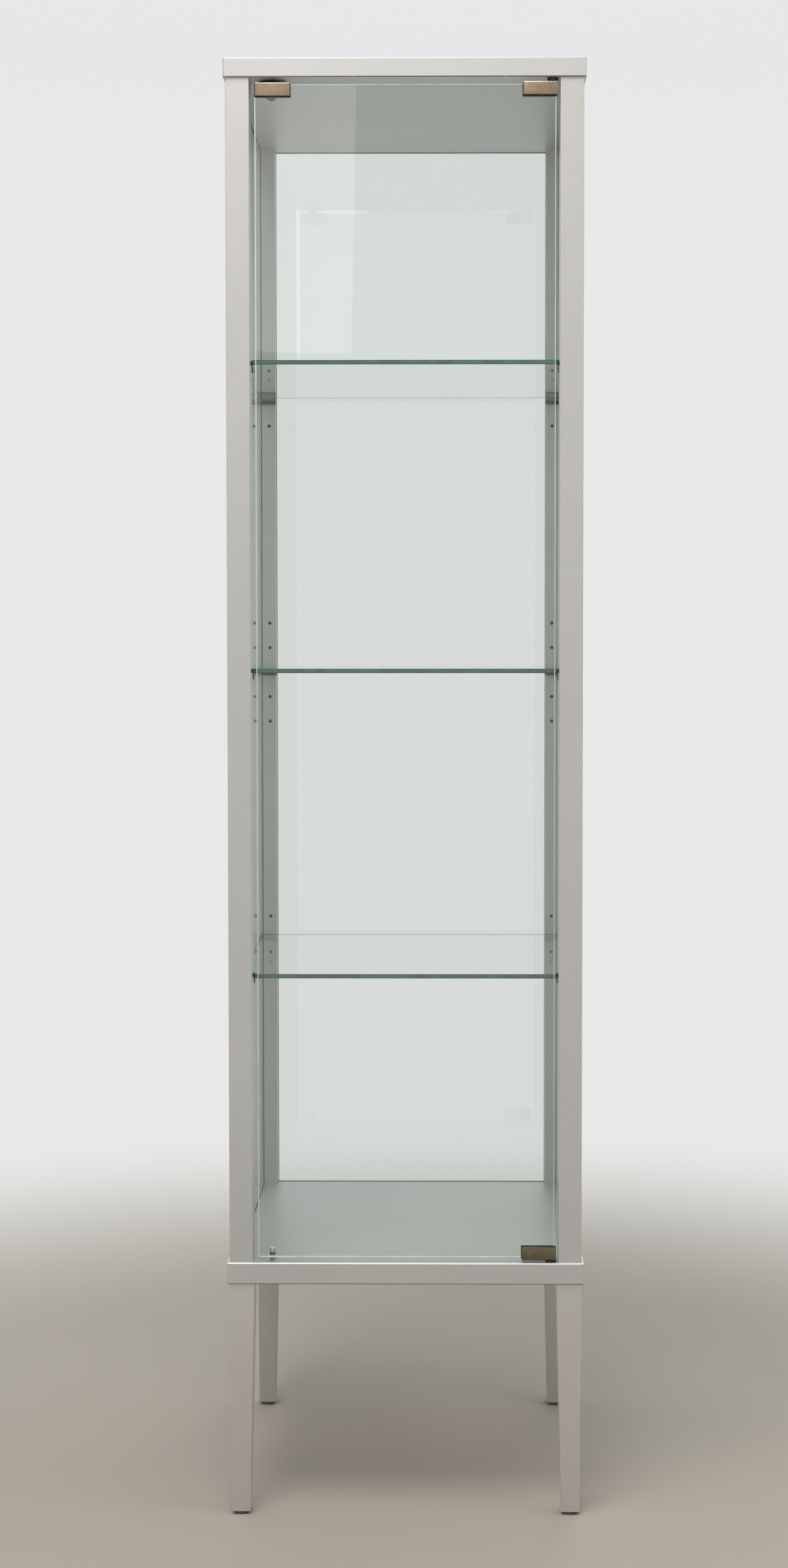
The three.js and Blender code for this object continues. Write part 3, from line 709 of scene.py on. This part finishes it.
CLIP_SLACK = 0.6 * MM  # between a clip's slot and the door
CLAMP = {"ease": 1.4 * MM, "past_edge": 0.4 * MM, "hole": 2.15 * MM, "hole_length": 6 * MM}
STRIKE = {"ease": 1.2 * MM, "steps": 4}
GASKET = {"proud": 0.7 * MM, "slack": 0.05 * MM, "past": 2 * MM, "ease": 0.1 * MM}
GRUB = {  # the screw is as long and as thick as its node
    "turns": 5,
    "start": 0.5 * MM,
    "thread_depth": 0.25 * MM,
    "thread_drop": 0.3 * MM,
    "front_chamfer": 0.4 * MM,
    "rear_chamfer": 0.3 * MM,
    "socket": 1.15 * MM,  # from its middle to a corner
    "socket_depth": 1.7 * MM,
}
NECK = {"radius": 1.9 * MM, "length": 2 * MM, "ease": 0.4 * MM}
BUSH = {
    "cup": 4.2 * MM,
    "flange": 6.2 * MM,
    "flange_height": 2.2 * MM,
    "bore": 3.15 * MM,
    "floor": 1.2 * MM,
    "ease": 0.35 * MM,
}
WASHER = {"slack": 0.1 * MM, "bore": 3.05 * MM, "radius": 5.6 * MM, "ease": 0.3 * MM}
CLIP_CREASE = 35


def door_slot(low, high, slack, past, up):
    """Corners of a slot for the door in something between low and high, past its open ends."""
    pane_low, pane_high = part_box("glass_door")
    slot_low = Vector((low.x - MM, pane_low.y - slack, low.z - past))
    slot_high = Vector((high.x + MM, pane_high.y + slack, high.z + past))
    if up > 0:
        slot_high.z = pane_high.z + slack
    else:
        slot_low.z = pane_low.z - slack
    return slot_low, slot_high


def clamp_mesh(node, screw, up):
    """Pivot clamp: a block with softly rounded edges, slotted over the corner of the door."""
    low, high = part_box(node)
    pane_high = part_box("glass_door")[1]
    slot_low, slot_high = door_slot(low, high, CLIP_SLACK, MM, up)
    slot_high.x = pane_high.x + CLAMP["past_edge"]
    at = centre_of(screw)
    hole = shifted(along_y(rod(CLAMP["hole"], CLAMP["hole_length"])), at.x, pane_high.y, at.z)
    rounded = carved("clamp_block", block(low, high), ease=CLAMP["ease"])
    return carved(node, solid_of(rounded), cut=[block(slot_low, slot_high), hole])


def add_gasket(name, liner, clip, up):
    """U-shaped rubber gasket between a clip and the glass, just proud of the clip's free edges."""
    clip_low, clip_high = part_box(clip)
    liner_low, liner_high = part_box(liner)
    pane_low, pane_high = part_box("glass_door")
    proud = GASKET["proud"]
    low = Vector((max(clip_low.x - proud, pane_low.x), liner_low.y, liner_low.z))
    high = Vector((min(clip_high.x + proud, pane_high.x), liner_high.y, liner_high.z))
    slot = block(*door_slot(low, high, GASKET["slack"], GASKET["past"], up))
    if up > 0:
        low.z = clip_low.z - proud
    else:
        high.z = clip_high.z + proud
    mesh = carved(name, block(low, high), cut=[slot], ease=GASKET["ease"], steps=2)
    piece(name, mesh, "door", [RUBBER], [liner], CLIP_CREASE)


def add_grub_screw(node, name):
    """Headless screw with a hexagon socket that faces the back."""
    low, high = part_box(node)
    radius, length = (high.x - low.x) / 2, high.y - low.y
    pitch = (length - MM) / GRUB["turns"]
    thread = [(0, 0), (radius - GRUB["front_chamfer"], 0)]
    for turn in range(GRUB["turns"]):
        z = GRUB["start"] + turn * pitch
        thread += [(radius, z), (radius - GRUB["thread_depth"], z + GRUB["thread_drop"])]
    thread += [(radius - GRUB["rear_chamfer"], length), (0, length)]
    socket = rod(GRUB["socket"], GRUB["socket_depth"] + MM, segments=6)
    socket = shifted(socket, 0, 0, length - GRUB["socket_depth"])
    mesh = carved(name, lathe(thread, segments=28), cut=[socket])
    mesh.transform(Matrix.Translation((centre_of(node).x, low.y, centre_of(node).z)) @ Z_TO_Y)
    piece(name, mesh, "door", [STEEL], [node], CLIP_CREASE)


def add_pivots():
    """Clamp, gasket, screw, pin, bush and washer at both ends of the door's right edge."""
    # The lower clamp takes the darker copy of the bronze as painted shade.
    for level, up, plate in (("upper", 1, BRONZE), ("lower", -1, BRONZE_SHADED)):
        node = f"hinge_clamp_{level}"
        mesh = clamp_mesh(node, f"hinge_screw_{level}", up)
        piece(f"pivot_clamp_{level}", mesh, "door", [plate], [node], CLIP_CREASE)
        add_gasket(f"clamp_gasket_{level}", f"hinge_liner_{level}", node, up)
        add_grub_screw(f"hinge_screw_{level}", f"clamp_screw_{level}")
        add_pivot_pin(level, up)
        add_pivot_bush(level, up)
        add_pivot_washer(level, up)


def add_pivot_pin(level, up):
    """Pin with a thinner neck in the clamp."""
    node = f"pivot_pin_{level}"
    low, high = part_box(node)
    radius, length = (high.x - low.x) / 2, high.z - low.z
    profile = soften([
        (0, 0),
        (NECK["radius"], 0),
        (NECK["radius"], NECK["length"]),
        (radius, NECK["length"]),
        (radius, length),
        (0, length),
    ], NECK["ease"])
    base = Vector((*centre_of(node).xy, low.z if up > 0 else high.z))
    pin = moved(lathe(profile), Matrix.Translation(base) @ Matrix.Diagonal((1, 1, up, 1)))
    piece(f"pivot_{level}", pin, "door", [STEEL], [node])


def add_pivot_bush(level, up):
    """Flanged cup let into the panel."""
    node = f"pivot_bush_{level}"
    low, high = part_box(node)
    height = high.z - low.z
    flange_at = height - BUSH["flange_height"]
    profile = soften([
        (0, 0),
        (BUSH["cup"], 0),
        (BUSH["cup"], flange_at),
        (BUSH["flange"], flange_at),
        (BUSH["flange"], height),
        (BUSH["bore"], height),
        (BUSH["bore"], BUSH["floor"]),
        (0, BUSH["floor"]),
    ], BUSH["ease"])
    base = Vector((*centre_of(node).xy, high.z if up > 0 else low.z))
    bush = moved(lathe(profile), Matrix.Translation(base) @ Matrix.Diagonal((1, 1, -up, 1)))
    piece(f"bush_{level}", bush, "cabinet", [BLACK], [node])


def add_pivot_washer(level, up):
    """Thick black washer round the pin, between the clamp and the bush."""
    bush_low, bush_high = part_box(f"pivot_bush_{level}")
    clamp_low, clamp_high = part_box(f"hinge_clamp_{level}")
    low, high = (clamp_high.z, bush_low.z) if up > 0 else (bush_high.z, clamp_low.z)
    bore, radius, slack = WASHER["bore"], WASHER["radius"], WASHER["slack"]
    height = high - low - 2 * slack
    section = [(bore, 0), (radius, 0), (radius, height), (bore, height), (bore, 0)]
    profile = soften(section, WASHER["ease"])[:-1]
    axis = centre_of(f"pivot_pin_{level}")
    washer = shifted(lathe(profile, closed=True), axis.x, axis.y, low + slack)
    piece(f"pivot_washer_{level}", washer, "door", [BLACK])


def add_strike():
    """Sheet clip folded over the top edge of the door, with a round bend in front and behind."""
    low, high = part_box("strike_clip")
    rounded = carved("strike_blank", block(low, high), ease=STRIKE["ease"], steps=STRIKE["steps"])
    slot = block(*door_slot(low, high, CLIP_SLACK, MM, 1))
    mesh = carved("strike_folded", solid_of(rounded), cut=[slot])
    piece("strike_folded", mesh, "door", [BRONZE], ["strike_clip"], CLIP_CREASE)
    add_gasket("strike_gasket", "strike_liner", "strike_clip", 1)


# ---------------------------------------------------------------- touch catch

CATCH = {
    "flange": 5 * MM,  # its height
    "rim": MM,  # rounding of its lower edge
    "web": 8 * MM,  # its width
    "web_setback": 0.6 * MM,  # from the sleeve's mouth
    "web_past": 0.8 * MM,  # the sleeve's bore
    "sleeve_room": 0.05 * MM,
    "screw_hole": 1.8 * MM,
    "bore": 4.6 * MM,
    "wall": 2 * MM,  # of the sleeve's blind end
    "sleeve_ease": 0.7 * MM,
    "plunger_ease": 0.6 * MM,
    "magnet_ease": 0.4 * MM,
    "seat": 3.4 * MM,  # radius of the spring's room in the plunger
    "magnet_slack": 0.1 * MM,
    "spring_gap": 0.3 * MM,
}
COIL = {"wire": 0.35 * MM, "turns": 4, "closed": 0.8, "steps": 24, "sides": 10}
PAN_SCREW = {
    "crown": 2 * MM,  # height of the rounded head
    "rim": 0.1 * MM,
    "shank": 1.6 * MM,
    "point": 2 * MM,
    "slot": (1.8 * MM, 0.35 * MM, 1.1 * MM),  # half length, half width and depth
    "turn": 0.4,
}


def add_catch():
    """Round black flange and web under the ceiling, and the plated sleeve that guides the plunger."""
    low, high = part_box("catch_housing")
    axis = centre_of("catch_plunger")
    radius, sleeve_radius = (high.x - low.x) / 2, axis.z - low.z
    height, rim = CATCH["flange"], CATCH["rim"]
    flange_low = high.z - height
    bore_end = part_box("catch_spring")[1].y + CATCH["spring_gap"]
    mouth = high.y - 2 * radius + rim
    disc = [(0, 0), (radius - rim, 0), (radius, rim), (radius, height), (0, height)]
    flange = shifted(lathe(soften(disc, rim), segments=72), axis.x, high.y - radius, flange_low)
    web = block(
        (axis.x - CATCH["web"] / 2, mouth + CATCH["web_setback"], axis.z),
        (axis.x + CATCH["web"] / 2, bore_end + CATCH["web_past"], flange_low + MM),
    )
    room = along_y(rod(sleeve_radius + CATCH["sleeve_room"], high.y - low.y + 2 * MM))
    holes = [shifted(room, axis.x, low.y - MM, axis.z)]
    for side in SIDES:
        screw = centre_of(f"catch_screw_{side}")
        hole = rod(CATCH["screw_hole"], height + 3 * MM)
        holes.append(shifted(hole, screw.x, screw.y, flange_low - MM))
    mesh = carved("catch_moulding", flange, join=[web], cut=holes)
    piece("catch_moulding", mesh, "cabinet", [BLACK], ["catch_housing"], CLIP_CREASE)
    add_sleeve(axis, mouth, bore_end, sleeve_radius)
    add_plunger(axis)
    add_spring()
    for side in SIDES:
        add_catch_screw(side)


def add_sleeve(axis, mouth, bore_end, radius):
    """Blind sleeve with softly rounded rims."""
    bore, depth = CATCH["bore"], bore_end - mouth
    end = depth + CATCH["wall"]
    section = [(0, depth), (bore, depth), (bore, 0), (radius, 0), (radius, end), (0, end)]
    tube = lathe(soften(section, CATCH["sleeve_ease"]), segments=48)
    sleeve = shifted(along_y(tube), axis.x, mouth, axis.z)
    piece("catch_sleeve", sleeve, "cabinet", [SLEEVE])


def add_plunger(axis):
    """Hollow plunger with the magnet in its tip and room for the spring behind."""
    low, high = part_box("catch_plunger")
    radius, length = (high.x - low.x) / 2, high.y - low.y
    section = [(0, 0), (radius, 0), (radius, length), (0, length)]
    magnet_low, magnet_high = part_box("catch_magnet")
    magnet_radius, depth = (magnet_high.x - magnet_low.x) / 2, magnet_high.y - magnet_low.y
    slack = CATCH["magnet_slack"]
    pocket = shifted(rod(magnet_radius + slack, MM + depth + slack), 0, 0, -MM)
    seat_depth = high.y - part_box("catch_spring")[0].y + CATCH["spring_gap"]
    seat = shifted(rod(CATCH["seat"], seat_depth + MM), 0, 0, length - seat_depth)
    body = lathe(soften(section, CATCH["plunger_ease"]), segments=48)
    mesh = carved("catch_tip", body, cut=[pocket, seat])
    mesh.transform(Matrix.Translation((axis.x, low.y, axis.z)) @ Z_TO_Y)
    piece("catch_tip", mesh, "plunger", [BLACK], ["catch_plunger"], CLIP_CREASE)
    disc = [(0, 0), (magnet_radius, 0), (magnet_radius, depth), (0, depth)]
    disc = lathe(soften(disc, CATCH["magnet_ease"]))
    magnet = shifted(along_y(disc), axis.x, magnet_low.y, axis.z)
    piece("catch_magnet_disc", magnet, "plunger", [STEEL], ["catch_magnet"])


def add_spring():
    """Coil spring with closed ends, which shortens towards the blind end of the sleeve."""
    low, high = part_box("catch_spring")
    axis = centre_of("catch_spring")
    wire, turns, closed = COIL["wire"], COIL["turns"], COIL["closed"]
    radius, rise = (high.x - low.x) / 2 - wire, high.y - low.y - 2 * wire
    closed_pitch = 2 * wire
    pitch = (rise - 2 * closed * closed_pitch) / (turns - 2 * closed)
    around = [2 * math.pi * i / COIL["sides"] for i in range(COIL["sides"])]
    bm = bmesh.new()
    rings = []
    for step in range(turns * COIL["steps"] + 1):
        turn = step / COIL["steps"]
        height = closed_pitch * (min(turn, closed) + max(turn - turns + closed, 0))
        height += pitch * (min(max(turn, closed), turns - closed) - closed)
        outward = Vector((math.cos(2 * math.pi * turn), 0, math.sin(2 * math.pi * turn)))
        centre = Vector((axis.x, low.y + wire + height, axis.z)) + radius * outward
        spokes = [math.cos(t) * outward + Vector((0, math.sin(t), 0)) for t in around]
        rings.append([bm.verts.new(centre + wire * spoke) for spoke in spokes])
    bm.faces.new(rings[0])
    bm.faces.new(rings[-1])
    for lower, upper in zip(rings, rings[1:]):
        join_loops(bm, lower, upper)
    spring = piece("catch_coil", bm, "cabinet", [STEEL], ["catch_spring"], crease=60)
    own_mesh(spring)


def add_catch_screw(side):
    """Pan-headed screw with a cross recess, its head downwards."""
    node = f"catch_screw_{side}"
    low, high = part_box(node)
    head, length = (high.x - low.x) / 2, high.z - low.z
    crown, shank = PAN_SCREW["crown"], PAN_SCREW["shank"]
    rim = crown + PAN_SCREW["rim"]
    arc = (0, 0.4, 0.8, 1.2, math.pi / 2)
    dome = [(head * math.sin(t), crown * (1 - math.cos(t))) for t in arc]
    tip = [(shank, length - PAN_SCREW["point"]), (0, length)]
    body = lathe([*dome, (head, rim), (shank, rim), *tip], segments=32)
    half_length, half_width, depth = PAN_SCREW["slot"]
    recess = []
    for turn in (PAN_SCREW["turn"], PAN_SCREW["turn"] + math.pi / 2):
        slot = block((-half_length, -half_width, -MM), (half_length, half_width, depth))
        recess.append(moved(slot, Matrix.Rotation(turn, 4, "Z")))
    mesh = carved(f"pan_screw_{side}", body, cut=recess)
    mesh.transform(Matrix.Translation((*centre_of(node).xy, low.z)))
    piece(f"pan_screw_{side}", mesh, "cabinet", [STEEL], [node], CLIP_CREASE)


# ---------------------------------------------------------------- stop, feet

STOP = {"stem": 2 * MM, "groove_slack": 0.1 * MM, "ease": 0.5 * MM}
GLIDE = {
    "sole": 0.86,  # of the radius
    "sole_rise": 1.1 * MM,
    "rim": 3.7 * MM,
    "spike": 1.4 * MM,
    "point": 2 * MM,
    "ease": 0.6 * MM,
}


def add_stop():
    """Stop pin in the floor with a rubber ring in its groove."""
    low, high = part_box("stop_pin")
    ring_low, ring_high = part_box("stop_bumper")
    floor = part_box("base_panel")[1].z
    radius, height, foot = (high.x - low.x) / 2, high.z - floor, low.z - floor
    outer, wire = (ring_high.x - ring_low.x) / 2, (ring_high.z - ring_low.z) / 2
    ring_z = (ring_low.z + ring_high.z) / 2 - floor
    slack = STOP["groove_slack"]
    waist = outer - 2 * wire - slack
    groove_low, groove_high = ring_z - wire - slack, ring_z + wire + slack
    profile = soften([
        (0, foot),
        (STOP["stem"], foot),
        (STOP["stem"], 0),
        (radius, 0),
        (radius, groove_low),
        (waist, groove_low),
        (waist, groove_high),
        (radius, groove_high),
        (radius, height),
        (0, height),
    ], STOP["ease"])
    place = (*centre_of("stop_pin").xy, floor)
    post = shifted(lathe(profile), *place)
    piece("stop_post", post, "cabinet", [STEEL], ["stop_pin"])
    turns = [2 * math.pi * i / 16 for i in range(16)]
    section = [(outer - wire + wire * math.cos(t), ring_z + wire * math.sin(t)) for t in turns]
    ring = shifted(lathe(section, closed=True), *place)
    piece("stop_ring", ring, "cabinet", [RUBBER], ["stop_bumper"], crease=60)


def add_glides():
    """Round nylon glide with a softly rounded rim under each leg."""
    for end in ENDS:
        for side in SIDES:
            node = f"glide_{end}_{side}"
            low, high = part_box(node)
            radius, spike, rim = (high.x - low.x) / 2, GLIDE["spike"], GLIDE["rim"]
            profile = soften([
                (0, 0),
                (radius * GLIDE["sole"], 0),
                (radius, GLIDE["sole_rise"]),
                (radius, rim),
                (spike, rim),
                (spike, high.z - GLIDE["point"]),
                (0, high.z),
            ], GLIDE["ease"])
            glide = shifted(lathe(profile, segments=48), *centre_of(node).xy, low.z)
            piece(f"foot_{end}_{side}", glide, "cabinet", [FOOT], [node])


# ---------------------------------------------------------------- studio

BACKDROP = (0.805, 0.808, 0.80)  # colour of the studio behind the object
ZENITH = (0.70, 0.78, 0.86)  # and overhead
CLIMB = (0.15, 0.9)  # height of a direction where the change starts and where it is complete
FLOOR = {"rings": (0.5, 1.5, 3, 6, 30), "plain": 0.7, "faded": 1.9}
FLOOR_TONES = (0.362, 0.314, 0.258), (0.40, 0.348, 0.288)
LIGHTS = {  # where it is, where it points, its width and height, and its watts
    "key": ((-0.35, -1.15, 3.2), (0, 0, 1.2), (1.1, 1.1), 41),
    "side": ((2.2, -0.9, 2.7), (0, 0, 0.9), (1.4, 1.4), 10),
    "rear": ((0.6, 2.4, 2.9), (0, 0, 0.9), (1.4, 1.4), 12),
    "window": ((-0.49, -3.2, 2.22), (-0.12, 0, 1.3), (0.62, 1.0), 3.0),
}


def floor_material():
    """Pale matt floor that fades into the backdrop away from the object."""
    mat, shader = material("pale_floor", {"Roughness": 0.8, "Specular IOR Level": 0.25})
    cloud = contrast(mat, noise(mat, 1.3, detail=4))
    feed(mat, shader.inputs["Base Color"], mix_colour(mat, cloud, *FLOOR_TONES))
    bump(mat, shader, noise(mat, 60, detail=4), 0.4 * MM, strength=0.3)
    place = add(mat, "TexCoord").outputs["Object"]
    reach = add(mat, "VectorMath", {0: place}, operation="LENGTH").outputs["Value"]
    limits = {"Value": reach, "From Min": FLOOR["plain"], "From Max": FLOOR["faded"]}
    fade = add(mat, "MapRange", limits, interpolation_type="SMOOTHSTEP").outputs["Result"]
    glow = add(mat, "Emission", {"Color": (*BACKDROP, 1), "Strength": 1})
    both = add(mat, "MixShader", {0: fade, 1: shader.outputs[0], 2: glow.outputs[0]})
    surface(mat, both.outputs[0])
    return mat


def add_floor():
    rings = [(0, 0)] + [(radius, 0) for radius in FLOOR["rings"]]
    mesh = mesh_of("floor", lathe(rings, segments=96))
    mesh.materials.append(floor_material())
    show("floor", mesh)


def add_lights():
    """Soft rectangular lamps, seen only by what they light or are reflected in."""
    for name, (place, target, size, power) in LIGHTS.items():
        data = bpy.data.lights.new(name, "AREA")
        data.shape, data.size, data.size_y = "RECTANGLE", *size
        data.energy = power
        light = show(name, data)
        light.location = place
        aim = Vector(target) - Vector(place)
        light.rotation_euler = aim.to_track_quat("-Z", "Y").to_euler()
        light.visible_camera = False
        light.visible_transmission = False


def add_backdrop():
    """Even pale surroundings, a little cooler overhead."""
    world = bpy.data.worlds.new("studio")
    bpy.context.scene.world = world
    world.use_nodes = True
    direction = add(world, "TexCoord").outputs["Generated"]
    height = add(world, "SeparateXYZ", {"Vector": direction}).outputs["Z"]
    colour = mix_colour(world, spread(world, height, *CLIMB, 0, 1), BACKDROP, ZENITH)
    feed(world, world.node_tree.nodes["Background"].inputs["Color"], colour)


def add_camera():
    data = bpy.data.cameras.new("camera")
    data.sensor_width = 36
    data.lens = CAMERA["lens"]
    data.shift_x, data.shift_y = CAMERA["shift"]
    camera = show("camera", data)
    yaw, pitch, roll = (math.radians(CAMERA[key]) for key in ("yaw", "pitch", "roll"))
    turn = Matrix.Rotation(-yaw, 4, "Z") @ Matrix.Rotation(math.pi / 2 + pitch, 4, "X")
    camera.matrix_world = Matrix.Translation(CAMERA["place"]) @ turn @ Matrix.Rotation(roll, 4, "Z")
    bpy.context.scene.camera = camera


add_camera()
finish_nodes()
add_door_pane()
add_fixed_panes()
add_shelf_panes()
add_glazing_beads()
add_supports()
add_pivots()
add_strike()
add_catch()
add_stop()
add_glides()
add_floor()
add_lights()
add_backdrop()
bpy.context.scene.view_settings.view_transform = "Standard"
